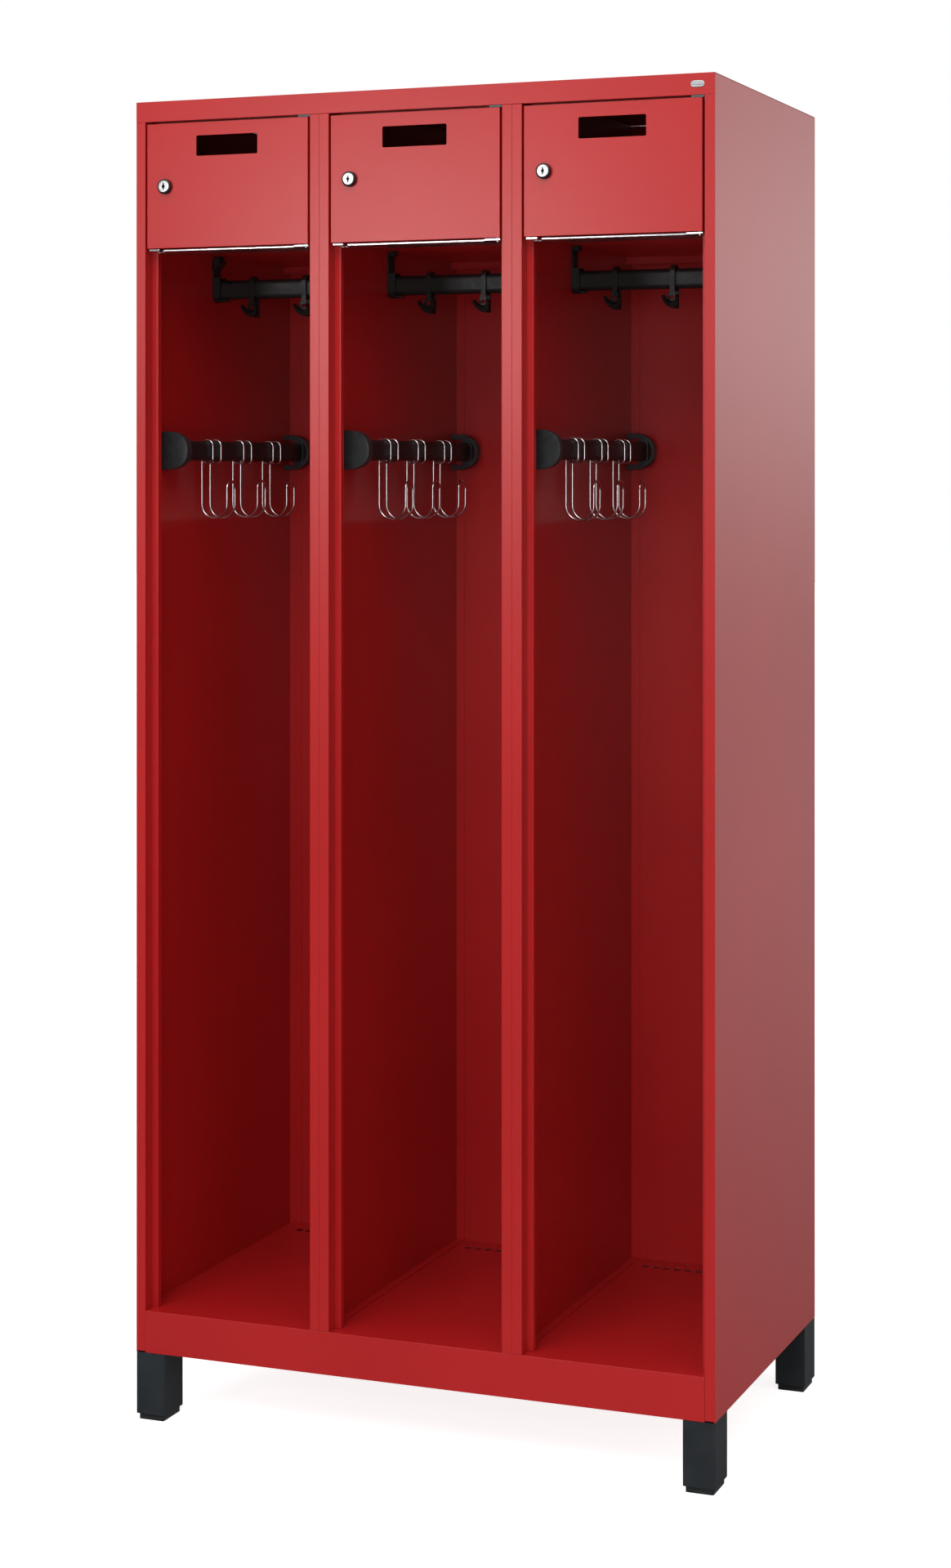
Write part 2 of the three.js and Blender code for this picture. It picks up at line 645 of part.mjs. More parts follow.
bays.forEach((x, index) => {
  const bay = `bay${index + 1}`;
  const left = leftWall[index];
  const right = rightWall[index];
  add(`${bay}_shelf`, shelfSolid(x, left, right), redPaint);
  add(`${bay}_door`, doorSolid(x), redPaint);
  add(`${bay}_hinge_pin`, hingePin(x), greyPlastic);
  add(`${bay}_lock_housing`, lockHousing(x), blackPlastic);
  add(`${bay}_lock_cylinder`, lockCylinder(x), chrome);

  const railEnds = railBracket.plate + gap;
  const railOutline = oval(rail.middleY, rail.middleZ, rail.thick, rail.height);
  add(`${bay}_clothes_rail`, prism(railOutline, 'yz', left + railEnds, right - railEnds), blackPlastic);
  add(`${bay}_rail_bracket_left`, railBracketSolid(left), blackPlastic);
  add(`${bay}_rail_bracket_right`, mirrorX(railBracketSolid(-right)), blackPlastic);
  slidingHook.places.forEach((place, i) => {
    add(`${bay}_sliding_hook_${i + 1}`, slidingHookSolid(x + place), blackPlastic);
  });

  const barOutline = oval(left + bar.fromWall, bar.middleZ, bar.thick, bar.height);
  add(`${bay}_coat_bar`, prism(barOutline, 'xz', bar.front, bar.rear), blackPlastic);
  add(`${bay}_bar_bracket_front`, barBracketSolid(left, true), blackPlastic);
  add(`${bay}_bar_bracket_rear`, barBracketSolid(left, false), blackPlastic);
  wireHook.places.forEach((y, i) => {
    add(`${bay}_wire_hook_${i + 1}`, wireHookSolid(left, y), chrome);
  });
});

// ---- legs and badge -------------------------------------------------------------------------

// Leg at the front left: square post on a plastic glide, with a spigot up into the carcass.
function legSolid(isFront) {
  const x0 = -halfWidth;
  const x1 = x0 + leg.width;
  const y0 = isFront ? front : back - leg.depth;
  const y1 = y0 + leg.depth;
  const inset = leg.glideInset;
  const spigotX = isFront ? stile.face + stile.stop + 2 * gap : rearFlange.side + 2 * gap;
  return block(x0, x1, y0, y1, leg.glide, legHeight - gap)
    .add(block(x0 + inset, x1 - inset, y0 + inset, y1 - inset, 0, leg.glide + 1))
    .add(block(x0 + spigotX, x1 - gap - 1, y0 + 5, y1 - 5, legHeight - 1, leg.spigotTop));
}

for (const isFront of [true, false]) {
  const place = isFront ? 'front' : 'rear';
  const solid = legSolid(isFront);
  add(`leg_${place}_left`, solid, anthracite);
  add(`leg_${place}_right`, mirrorX(solid), anthracite);
}

const badgeOutline = roundedRectangle(badge.x, badge.z, badge.width, badge.height, badge.height / 2 - 0.1);
add('badge_plate', prism(badgeOutline, 'xz', front - gap - badge.thick, front - gap), brightSteel);

export default locker;
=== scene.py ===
import json
import math

import bmesh
import bpy
from mathutils import Matrix, Vector


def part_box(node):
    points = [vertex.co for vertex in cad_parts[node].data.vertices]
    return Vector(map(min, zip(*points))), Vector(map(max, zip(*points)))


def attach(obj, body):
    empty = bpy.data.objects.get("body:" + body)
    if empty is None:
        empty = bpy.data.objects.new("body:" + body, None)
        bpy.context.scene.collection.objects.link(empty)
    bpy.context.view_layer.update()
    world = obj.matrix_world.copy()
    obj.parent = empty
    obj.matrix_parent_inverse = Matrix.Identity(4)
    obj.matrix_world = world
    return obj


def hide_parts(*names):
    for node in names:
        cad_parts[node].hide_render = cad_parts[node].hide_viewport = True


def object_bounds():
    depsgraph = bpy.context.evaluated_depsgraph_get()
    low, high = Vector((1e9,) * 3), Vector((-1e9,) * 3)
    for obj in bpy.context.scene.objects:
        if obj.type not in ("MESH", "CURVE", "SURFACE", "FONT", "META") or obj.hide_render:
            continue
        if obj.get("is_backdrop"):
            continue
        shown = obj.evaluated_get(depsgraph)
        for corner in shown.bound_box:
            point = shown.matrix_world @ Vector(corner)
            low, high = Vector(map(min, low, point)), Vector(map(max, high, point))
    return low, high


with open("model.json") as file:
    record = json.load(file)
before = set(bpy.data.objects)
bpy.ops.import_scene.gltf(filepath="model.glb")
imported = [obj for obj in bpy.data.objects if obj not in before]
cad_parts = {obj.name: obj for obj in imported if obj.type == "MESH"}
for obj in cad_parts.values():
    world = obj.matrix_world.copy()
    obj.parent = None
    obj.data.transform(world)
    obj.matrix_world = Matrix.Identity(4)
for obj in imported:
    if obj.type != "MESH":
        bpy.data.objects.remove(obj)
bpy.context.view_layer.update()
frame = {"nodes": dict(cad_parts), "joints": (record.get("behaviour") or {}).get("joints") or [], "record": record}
scene = bpy.context.scene
bodyOf = {node: body for body, nodes in frame["record"]["behaviour"]["bodies"].items() for node in nodes}
bays = ("bay1", "bay2", "bay3")
mm = 0.001
past = 1 * mm                          # how far a cutting shape reaches out of what it cuts


def sizes(**values):
    # millimetres to the scene's metres, lists included
    return {key: [v * mm for v in value] if isinstance(value, (list, tuple)) else value * mm
            for key, value in values.items()}


# colours, nodes and materials

def colour(hexText):
    # sRGB hex to the linear values that shaders work in
    channels = [int(hexText[i:i + 2], 16) / 255 for i in (1, 3, 5)]
    linear = [c / 12.92 if c <= 0.04045 else ((c + 0.055) / 1.055) ** 2.4 for c in channels]
    return (*linear, 1.0)


def addNode(tree, kind, inputs=None, **settings):
    node = tree.nodes.new(kind)
    for key, value in settings.items():
        setattr(node, key, value)
    for key, value in (inputs or {}).items():
        if isinstance(value, bpy.types.NodeSocket):
            tree.links.new(value, node.inputs[key])
        else:
            node.inputs[key].default_value = value
    return node


def newMaterial(name, **fixed):
    # fixed values go straight on the shader's own sockets
    material = bpy.data.materials.new(name)
    material.use_nodes = True
    tree = material.node_tree
    shader = tree.nodes["Principled BSDF"]
    for socket, value in fixed.items():
        shader.inputs[socket.replace("_", " ")].default_value = value
    place = addNode(tree, "ShaderNodeTexCoord").outputs["Object"]
    return material, tree, shader, place


def mixColours(tree, share, first, second):
    mix = addNode(tree, "ShaderNodeMix", data_type="RGBA")
    factor, a, b = (next(s for s in mix.inputs if s.enabled and s.name == name)
                    for name in ("Factor", "A", "B"))
    tree.links.new(share, factor)
    for socket, value in ((a, first), (b, second)):
        if isinstance(value, bpy.types.NodeSocket):
            tree.links.new(value, socket)
        else:
            socket.default_value = colour(value)
    return next(s for s in mix.outputs if s.enabled)


def between(tree, value, low, high, fromLow=0.3, fromHigh=0.7):
    # a value's usual span, spread over the wanted one
    return addNode(tree, "ShaderNodeMapRange", {
        "Value": value, "From Min": fromLow, "From Max": fromHigh, "To Min": low, "To Max": high,
    }).outputs["Result"]


# Baked powder coat: satin, with a shallow orange peel that breaks up the edge of a reflection, and a
# tone that drifts a little over a panel. Real peel is about 1.5 mm across; it is drawn at 3 mm so
# that it shows.
redCoat = {
    "dark": "#ac181a", "light": "#b51c1d", "drift": 320 * mm,
    "peel": 3 * mm, "depth": 0.012 * mm, "roughness": (0.29, 0.34), "shine": 0.5,
}
anthraciteCoat = {
    "dark": "#25292c", "light": "#2c3033", "drift": 50 * mm,
    "peel": 2 * mm, "depth": 0.012 * mm, "roughness": (0.46, 0.54), "shine": 0.18,
}


def powderCoat(name, coat):
    material, tree, shader, place = newMaterial(name, IOR=1.5, Specular_IOR_Level=coat["shine"])
    drift = addNode(tree, "ShaderNodeTexNoise", {
        "Vector": place, "Scale": 1 / coat["drift"], "Detail": 2.0,
    })
    tone = mixColours(tree, between(tree, drift.outputs["Fac"], 0.0, 1.0), coat["dark"], coat["light"])
    peel = addNode(tree, "ShaderNodeTexNoise", {
        "Vector": place, "Scale": 1 / coat["peel"], "Detail": 1.0,
    })
    bump = addNode(tree, "ShaderNodeBump", {
        "Height": peel.outputs["Fac"], "Distance": coat["depth"], "Strength": 1.0,
    })
    tree.links.new(tone, shader.inputs["Base Color"])
    tree.links.new(between(tree, peel.outputs["Fac"], *coat["roughness"]), shader.inputs["Roughness"])
    tree.links.new(bump.outputs["Normal"], shader.inputs["Normal"])
    return material


# Moulded nylon and acetal: dull, with the fine spark-eroded grain of the mould, 0.4 mm across, and
# patches that were pressed a little smoother.
mould = sizes(grain=0.4, patch=9, depth=0.02)


def mouldedPlastic(name, dark, light, roughness):
    material, tree, shader, place = newMaterial(name, IOR=1.5)
    spark = addNode(tree, "ShaderNodeTexVoronoi", {"Vector": place, "Scale": 1 / mould["grain"]})
    patch = addNode(tree, "ShaderNodeTexNoise", {
        "Vector": place, "Scale": 1 / mould["patch"], "Detail": 2.0,
    })
    tone = mixColours(tree, between(tree, patch.outputs["Fac"], 0.0, 1.0), dark, light)
    bump = addNode(tree, "ShaderNodeBump", {
        "Height": spark.outputs["Distance"], "Distance": mould["depth"], "Strength": 0.6,
    })
    tree.links.new(tone, shader.inputs["Base Color"])
    tree.links.new(between(tree, patch.outputs["Fac"], *roughness), shader.inputs["Roughness"])
    tree.links.new(bump.outputs["Normal"], shader.inputs["Normal"])
    return material


# Bright plating, chrome on the wires and nickel on the locks: pale metal whose reflections are softened
# by a faint haze that comes and goes.
hazeAcross = 6 * mm


def brightPlating(name, hexText, roughness):
    material, tree, shader, place = newMaterial(name, Metallic=1.0)
    haze = addNode(tree, "ShaderNodeTexNoise", {"Vector": place, "Scale": 1 / hazeAcross, "Detail": 4.0})
    tone = mixColours(tree, between(tree, haze.outputs["Fac"], 0.0, 1.0), "#cfd0d1", hexText)
    tree.links.new(tone, shader.inputs["Base Color"])
    tree.links.new(between(tree, haze.outputs["Fac"], *roughness), shader.inputs["Roughness"])
    return material


# Bright zinc-plated strip: rolled steel, so its streaks run along the strip, with a soft spangle.
rolled = sizes(streakLong=60, streakWide=0.8, spangle=7)


def zincPlated(name):
    material, tree, shader, place = newMaterial(name, Metallic=1.0)
    along = addNode(tree, "ShaderNodeMapping", {
        "Vector": place,
        "Scale": (1 / rolled["streakLong"], 1 / rolled["streakWide"], 1 / rolled["streakWide"]),
    })
    streak = addNode(tree, "ShaderNodeTexNoise", {
        "Vector": along.outputs["Vector"], "Scale": 1.0, "Detail": 3.0,
    })
    spangle = addNode(tree, "ShaderNodeTexVoronoi", {"Vector": place, "Scale": 1 / rolled["spangle"]})
    tone = mixColours(tree, spangle.outputs["Color"], "#c3c6c8", "#d6d8d9")
    tree.links.new(tone, shader.inputs["Base Color"])
    tree.links.new(between(tree, streak.outputs["Fac"], 0.22, 0.36), shader.inputs["Roughness"])
    return material


redPaint = powderCoat("redPowderCoat", redCoat)
anthracitePaint = powderCoat("anthracitePowderCoat", anthraciteCoat)
blackNylon = mouldedPlastic("mouldedBlackNylon", "#161617", "#1e1e1f", (0.42, 0.56))
# the coat bar's end covers are smoother than the rest of the black nylon; their colour is painted a touch greyer
# as a painted highlight, standing for the key light on their faces
coverNylonPaintedLight = mouldedPlastic("satinBlackCoverPaintedLight", "#26292a", "#2f3233", (0.36, 0.46))
greyAcetal = mouldedPlastic("greyAcetal", "#41504f", "#4b5b5b", (0.42, 0.56))
glidePolyamide = mouldedPlastic("glidePolyamide", "#1d1f21", "#25282a", (0.5, 0.62))
# near-black for the keyhole: painted shade, standing for the dark inside a deep keyway
keyholePaintedShade = mouldedPlastic("keyholePaintedShade", "#050505", "#090909", (0.6, 0.7))
chromedWire = brightPlating("chromedWire", "#f4f4f4", (0.18, 0.26))
nickelFace = brightPlating("satinNickel", "#e9e8e5", (0.3, 0.38))
zincSteel = zincPlated("brightZincSteel")
print("materials made")


# making, joining and finishing pieces

def addPiece(name, mesh, *materials):
    piece = bpy.data.objects.new(name, mesh)
    scene.collection.objects.link(piece)
    if materials:
        mesh.materials.clear()
        for material in materials:
            mesh.materials.append(material)
    return piece


def flatten(piece):
    # turns the modifiers into the mesh itself
    evaluated = piece.evaluated_get(bpy.context.evaluated_depsgraph_get())
    mesh = bpy.data.meshes.new_from_object(evaluated)
    piece.modifiers.clear()
    piece.data = mesh
    return piece


def bake(piece, sharpAngle=40):
    # smooth over the rounds, while wide faces keep their own direction and stay flat to the eye
    flatten(piece)
    piece.data.shade_smooth()
    work = bmesh.new()
    work.from_mesh(piece.data)
    smooth = [len(edge.link_faces) == 2 and edge.calc_face_angle() < math.radians(sharpAngle)
              for edge in work.edges]
    pull = [face.normal * face.calc_area() ** 2 for face in work.faces]
    normals = [None] * len(piece.data.loops)
    for vert in work.verts:
        corners = set(vert.link_loops)
        # corners that meet across smooth edges share one direction
        while corners:
            waiting, fan = [corners.pop()], []
            while waiting:
                corner = waiting.pop()
                fan.append(corner)
                joined = {edge for edge in corner.face.edges if vert in edge.verts and smooth[edge.index]}
                near = {other for other in corners if joined.intersection(other.face.edges)}
                corners -= near
                waiting.extend(near)
            total = sum((pull[corner.face.index] for corner in fan), Vector())
            for corner in fan:
                normals[corner.index] = total.normalized() if total.length > 0 else corner.face.normal
    work.free()
    piece.data.normals_split_custom_set(normals)
    return piece


def fit(piece, body, slot, *nodes):
    # the finished piece moves with its body and stands for its nodes
    piece.data.name = piece.name
    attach(piece, body)
    if nodes:
        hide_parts(*nodes)
    return piece


def soften(piece, width, angle=40):
    # a moulded part's edges, rounded a little
    bevel = piece.modifiers.new("soften", "BEVEL")
    bevel.width = width
    bevel.segments = 2
    bevel.limit_method = "ANGLE"
    bevel.angle_limit = math.radians(angle)
    return piece


def combine(piece, others, operation="UNION", transfer=False):
    for other in others:
        modifier = piece.modifiers.new("combine", "BOOLEAN")
        modifier.operation = operation
        modifier.solver = "EXACT"
        modifier.object = other
        if transfer:
            modifier.material_mode = "TRANSFER"
    flatten(piece)
    for other in others:
        bpy.data.objects.remove(other)
    return piece


def join(name, pieces):
    # one mesh from several of the same finish
    work = bmesh.new()
    for piece in pieces:
        work.from_mesh(piece.data)
    mesh = bpy.data.meshes.new(name)
    work.to_mesh(mesh)
    work.free()
    for material in pieces[0].data.materials:
        mesh.materials.append(material)
    for piece in pieces:
        bpy.data.objects.remove(piece)
    return addPiece(name, mesh)


# outlines

def arc(a, b, radius, start, end, steps=10, radiusB=None):
    turns = [math.radians(start + (end - start) * i / steps) for i in range(steps + 1)]
    return [(a + radius * math.cos(t), b + (radiusB or radius) * math.sin(t)) for t in turns]


def circle(a, b, radius, sides=32):
    return arc(a, b, radius, 0, 360, sides)[:-1]


def oval(a, b, thick, height, steps=14):
    # flat oval, long in its second axis
    radius = thick / 2
    straight = height / 2 - radius
    return arc(a, b + straight, radius, 0, 180, steps) + arc(a, b - straight, radius, 180, 360, steps)


def rounded(a, b, width, height, radius, steps=5):
    w, h = width / 2 - radius, height / 2 - radius
    return (arc(a + w, b + h, radius, 0, 90, steps) + arc(a - w, b + h, radius, 90, 180, steps)
            + arc(a - w, b - h, radius, 180, 270, steps) + arc(a + w, b - h, radius, 270, 360, steps))


# where an outline's own two axes and its thickness point in the scene
stand = {
    "xy": lambda a, b, c: (a, b, c),
    "yz": lambda a, b, c: (c, a, b),
    "xz": lambda a, b, c: (a, c, b),
}


def plate(name, plane, outlines, low, high, rim, *materials):
    # a flat filled curve given thickness and a rounded rim, where outlines after the first are holes
    curve = bpy.data.curves.new(name, "CURVE")
    curve.dimensions = "2D"
    curve.fill_mode = "BOTH"
    curve.extrude = (high - low) / 2 - rim
    curve.bevel_depth = rim
    curve.offset = -rim
    curve.bevel_resolution = 1
    for outline in outlines:
        spline = curve.splines.new("POLY")
        spline.points.add(len(outline) - 1)
        for point, (a, b) in zip(spline.points, outline):
            point.co = (a, b, 0, 1)
        spline.use_cyclic_u = True
    flat = bpy.data.objects.new(name, curve)
    scene.collection.objects.link(flat)
    mesh = bpy.data.meshes.new_from_object(flat.evaluated_get(bpy.context.evaluated_depsgraph_get()))
    bpy.data.objects.remove(flat)
    work = bmesh.new()
    work.from_mesh(mesh)
    bmesh.ops.remove_doubles(work, verts=work.verts, dist=1e-6)
    for vert in work.verts:
        a, b, c = vert.co
        vert.co = stand[plane](a, b, c + (low + high) / 2)
    bmesh.ops.dissolve_limit(work, angle_limit=math.radians(0.1), verts=work.verts, edges=work.edges)
    bmesh.ops.recalc_face_normals(work, faces=work.faces)
    work.to_mesh(mesh)
    work.free()
    return addPiece(name, mesh, *materials)


def turned(name, plane, centre, profile, sides, *materials):
    # a part turned about the plane's third axis: profile points are (radius, distance along it)
    work = bmesh.new()
    rings = []
    for radius, along in profile:
        spots = circle(*centre, radius, sides) if radius else [centre]
        rings.append([work.verts.new(stand[plane](a, b, along)) for a, b in spots])
    pairs = list(zip(rings, rings[1:]))
    if len(rings[0]) > 1:
        pairs.append((rings[-1], rings[0]))
    for first, second in pairs:
        for i in range(sides):
            corners = [first[i % len(first)], first[(i + 1) % len(first)],
                       second[(i + 1) % len(second)], second[i % len(second)]]
            work.faces.new(list(dict.fromkeys(corners)))
    bmesh.ops.recalc_face_normals(work, faces=work.faces)
    mesh = bpy.data.meshes.new(name)
    work.to_mesh(mesh)
    work.free()
    return addPiece(name, mesh, *materials)


def block(low, high):
    # a box to cut with
    mesh = bpy.data.meshes.new("cutter")
    work = bmesh.new()
    bmesh.ops.create_cube(work, size=1)
    for vert in work.verts:
        vert.co = [(l + h) / 2 + v * (h - l) for v, l, h in zip(vert.co, low, high)]
    work.to_mesh(mesh)
    work.free()
    return addPiece("cutter", mesh)


def mirroredX(piece, about):
    # turned the right way out again after the mirror
    piece.data.transform(Matrix.Translation((2 * about, 0, 0)) @ Matrix.Diagonal((-1, 1, 1, 1)))
    piece.data.flip_normals()
    return piece


# node groups that grow a detail along the lines they are given

def newGrowth(name, *inputs):
    tree = bpy.data.node_groups.new(name, "GeometryNodeTree")
    for label, kind in (("Path", "Geometry"), *inputs, ("Finish", "Material")):
        tree.interface.new_socket(label, in_out="INPUT", socket_type=f"NodeSocket{kind}")
    tree.interface.new_socket("Made", in_out="OUTPUT", socket_type="NodeSocketGeometry")
    given = addNode(tree, "NodeGroupInput").outputs
    line = addNode(tree, "GeometryNodeMeshToCurve", {"Mesh": given["Path"]})
    return tree, given, line.outputs["Curve"]


def endGrowth(tree, shape, finish):
    smooth = addNode(tree, "GeometryNodeSetShadeSmooth", {"Geometry": shape})
    real = addNode(tree, "GeometryNodeRealizeInstances", {"Geometry": smooth.outputs["Geometry"]})
    coated = addNode(tree, "GeometryNodeSetMaterial", {
        "Geometry": real.outputs["Geometry"], "Material": finish,
    })
    addNode(tree, "NodeGroupOutput", {"Made": coated.outputs["Geometry"]})
    return tree


def bentWireTree():
    tree, given, line = newGrowth("bentWire", ("Wire radius", "Float"), ("Sides", "Int"))
    section = addNode(tree, "GeometryNodeCurvePrimitiveCircle", {
        "Resolution": given["Sides"], "Radius": given["Wire radius"],
    })
    wire = addNode(tree, "GeometryNodeCurveToMesh", {
        "Curve": line, "Profile Curve": section.outputs["Curve"], "Fill Caps": True,
    })
    return endGrowth(tree, wire.outputs["Mesh"], given["Finish"])


def rivetRowTree():
    # low domes, half sunk in the sheet
    tree, given, line = newGrowth("rivetRow", ("Spacing", "Float"), ("Head", "Vector"))
    spots = addNode(tree, "GeometryNodeResampleCurve", {
        "Curve": line, "Length": given["Spacing"],
    }, mode="LENGTH")
    dome = addNode(tree, "GeometryNodeMeshUVSphere", {"Segments": 12, "Rings": 6, "Radius": 1.0})
    head = addNode(tree, "GeometryNodeTransform", {
        "Geometry": dome.outputs["Mesh"], "Scale": given["Head"],
    })
    row = addNode(tree, "GeometryNodeInstanceOnPoints", {
        "Points": spots.outputs["Curve"], "Instance": head.outputs["Geometry"],
    })
    return endGrowth(tree, row.outputs["Instances"], given["Finish"])


def grow(name, paths, tree, values):
    # runs a node group on lines of points, and keeps the result as a plain mesh
    points, edges = [], []
    for path in paths:
        edges += [(len(points) + i, len(points) + i + 1) for i in range(len(path) - 1)]
        points += path
    mesh = bpy.data.meshes.new(name)
    mesh.from_pydata(points, edges, [])
    piece = addPiece(name, mesh)
    modifier = piece.modifiers.new(tree.name, "NODES")
    modifier.node_group = tree
    for item in tree.interface.items_tree:
        if item.in_out == "INPUT" and item.name in values:
            modifier[item.identifier] = values[item.name]
    return flatten(piece)


# sheet metal: the design's own sheets, with their folds and cut edges rounded

sheetMetal = sizes(foldRadius=0.5, cutEdge=0.2, thin=1.6, topRail=30, seam=0.3, welded=0.01)
flatWithin, foldFrom = math.radians(0.5), math.radians(30)


def closeSeam(piece, height):
    # the outer posts are joined to the top rail, with no gap to be seen between them
    for vert in piece.data.vertices:
        if abs(vert.co.z - height + sheetMetal["seam"]) < sheetMetal["seam"] / 3:
            vert.co.z = height


def roundFolds(piece):
    # folds get the full radius and the sheet's own cut edges only a trace of one
    work = bmesh.new()
    work.from_mesh(piece.data)
    bmesh.ops.remove_doubles(work, verts=work.verts, dist=sheetMetal["welded"])
    bmesh.ops.dissolve_limit(work, angle_limit=flatWithin, verts=work.verts, edges=work.edges)
    weight = work.edges.layers.float.new("bevel_weight_edge")
    thinFace = {face: face.calc_area() < sheetMetal["thin"] * max(e.calc_length() for e in face.edges)
                for face in work.faces}
    for edge in work.edges:
        if len(edge.link_faces) == 2 and edge.is_convex and edge.calc_face_angle() > foldFrom:
            cut = any(thinFace[face] for face in edge.link_faces)
            edge[weight] = sheetMetal["cutEdge"] / sheetMetal["foldRadius"] if cut else 1.0
    work.to_mesh(piece.data)
    work.free()
    bevel = piece.modifiers.new("folds", "BEVEL")
    bevel.limit_method = "WEIGHT"
    bevel.width = sheetMetal["foldRadius"]
    bevel.segments = 3
    bevel.use_clamp_overlap = False
    return bake(piece)


carcass = {
    "side_panel_left": "left_side_sheet", "side_panel_right": "right_side_sheet",
    "top_panel": "top_sheet", "floor_panel": "floor_sheet", "back_panel": "back_sheet",
    "partition_1": "partition_sheet_1", "partition_2": "partition_sheet_2",
    "bay1_door": "bay1_door_pan", "bay2_door": "bay2_door_pan", "bay3_door": "bay3_door_pan",
}
for node, name in carcass.items():
    piece = addPiece(name, frame["nodes"][node].data.copy(), redPaint)
    if node.startswith("side_panel"):
        closeSeam(piece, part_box("top_panel")[1].z - sheetMetal["topRail"])
    fit(roundFolds(piece), bodyOf[node], "red_paint", node)

rivet = sizes(head=(3.2, 0.9, 3.2), spacing=146, low=150, high=1900, fromSide=11, fromPartition=7)

low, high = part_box("back_panel")
rows = [low.x + rivet["fromSide"], high.x - rivet["fromSide"]]
rows += [(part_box(node)[0].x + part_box(node)[1].x) / 2 + rivet["fromPartition"]
         for node in ("partition_1", "partition_2")]
rivets = grow("back_rivets", [[(x, high.y, rivet["low"]), (x, high.y, rivet["high"])] for x in rows],
              rivetRowTree(), {"Spacing": rivet["spacing"], "Head": rivet["head"], "Finish": redPaint})
fit(rivets, bodyOf["back_panel"], "red_paint")
print("carcass and doors made")


# shelf under the small compartment: a painted sheet with a lip at the back, and a bright channel
# that closes the gap under the door

shelf = sizes(sheet=1, rearLip=12, channelDepth=57.4, lip=2.4, tabLip=2.7, leftTab=(-129, -112),
              rightTab=(108, 132), notch=(-112, -105), notchDepth=3, innerHalf=125.2,
              frontDepth=20.1, beyond=5)


def bentStrip(name, path, low, high, material):
    # a bent sheet: the path in Y and Z is its outer face, and its thickness lies to the left of it
    points = [Vector(point) for point in path]
    steps = [(after - before).normalized() for before, after in zip(points, points[1:])]
    inner = []
    for i, point in enumerate(points):
        first, second = steps[max(i - 1, 0)], steps[min(i, len(steps) - 1)]
        share = shelf["sheet"] / (1 + first.dot(second))
        inner.append((point.x - (first.y + second.y) * share, point.y + (first.x + second.x) * share))
    return plate(name, "yz", [path + inner[::-1]], low, high, 0, material)


for bay in bays:
    low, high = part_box(f"{bay}_shelf")
    doorLow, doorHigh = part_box(f"{bay}_door")
    channelBack = low.y + shelf["channelDepth"]
    sheet = bentStrip(f"{bay}_shelf_sheet", [
        (high.y, high.z - shelf["rearLip"]), (high.y, high.z), (channelBack - shelf["sheet"], high.z),
    ], low.x, high.x, redPaint)
    fit(roundFolds(sheet), bodyOf[f"{bay}_shelf"], "red_paint", f"{bay}_shelf")

    # the channel's front is cut short at both ends, where a tab one sheet higher takes its place
    middle = (doorLow.x + doorHigh.x) / 2
    tabBack, tabLow = low.y + shelf["frontDepth"], low.z + shelf["sheet"]
    channel = bentStrip("channel", [
        (low.y, low.z + shelf["lip"]), (low.y, low.z), (channelBack, low.z),
        (channelBack, high.z - shelf["sheet"]),
    ], middle - shelf["innerHalf"], middle + shelf["innerHalf"], zincSteel)
    beyond = shelf["beyond"]
    combine(channel, [
        block((low.x, low.y - beyond, low.z - beyond),
              (middle + shelf["notch"][1], tabBack, high.z - beyond)),
        block((middle + shelf["rightTab"][0], low.y - beyond, low.z - beyond),
              (high.x, tabBack, high.z - beyond)),
    ], "DIFFERENCE")
    bright = [roundFolds(channel)]
    for start, end in (shelf["leftTab"], shelf["rightTab"]):
        bright.append(roundFolds(bentStrip("tab", [
            (low.y, tabLow + shelf["tabLip"]), (low.y, tabLow), (tabBack, tabLow),
        ], middle + start, middle + end, zincSteel)))
    web = bentStrip("web", [(low.y + shelf["notchDepth"], low.z), (tabBack, low.z)],
                    middle + shelf["notch"][0], middle + shelf["notch"][1], zincSteel)
    bright.append(roundFolds(web))
    fit(join(f"{bay}_front_channel", bright), bodyOf[f"{bay}_shelf"], "bright_steel", f"{bay}_shelf")
print("shelves and channels made")


# hinge: a plain steel pin through the door's corner, and the grey bearing block over it

hinge = sizes(pin=2, chamfer=0.6, blockHeight=3, blockTop=4.3, through=3.8, play=0.1, corner=1, rim=0.3)

for index, bay in enumerate(bays):
    low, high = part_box(f"{bay}_hinge_pin")
    joint = next(j for j in frame["joints"] if j["name"] == f"door_{index + 1}_hinge")
    axis = joint["pos_m"][:2]
    foot = low.z - hinge["through"]    # its end shows under the channel
    blockTop = high.z - hinge["blockTop"]
    pin = turned(f"{bay}_hinge_pin_rod", "xy", axis, [
        (0, foot), (hinge["pin"] - hinge["chamfer"], foot), (hinge["pin"], foot + hinge["chamfer"]),
        (hinge["pin"], high.z - hinge["chamfer"]), (hinge["pin"] - hinge["chamfer"], high.z), (0, high.z),
    ], 20, zincSteel)
    bake(pin)
    fit(pin, bodyOf[f"{bay}_hinge_pin"], "bright_steel", f"{bay}_hinge_pin")
    bearing = plate(f"{bay}_hinge_bearing", "xy", [
        rounded((low.x + high.x) / 2, (low.y + high.y) / 2, high.x - low.x, high.y - low.y,
                hinge["corner"]),
        circle(*axis, hinge["pin"] + hinge["play"], 20),
    ], blockTop - hinge["blockHeight"], blockTop, hinge["rim"], greyAcetal)
    fit(bake(bearing), bodyOf[f"{bay}_hinge_pin"], "grey_plastic", f"{bay}_hinge_pin")
print("hinges made")


# lock: a black collar with its threaded body, a polished face with a keyhole, and the cam behind

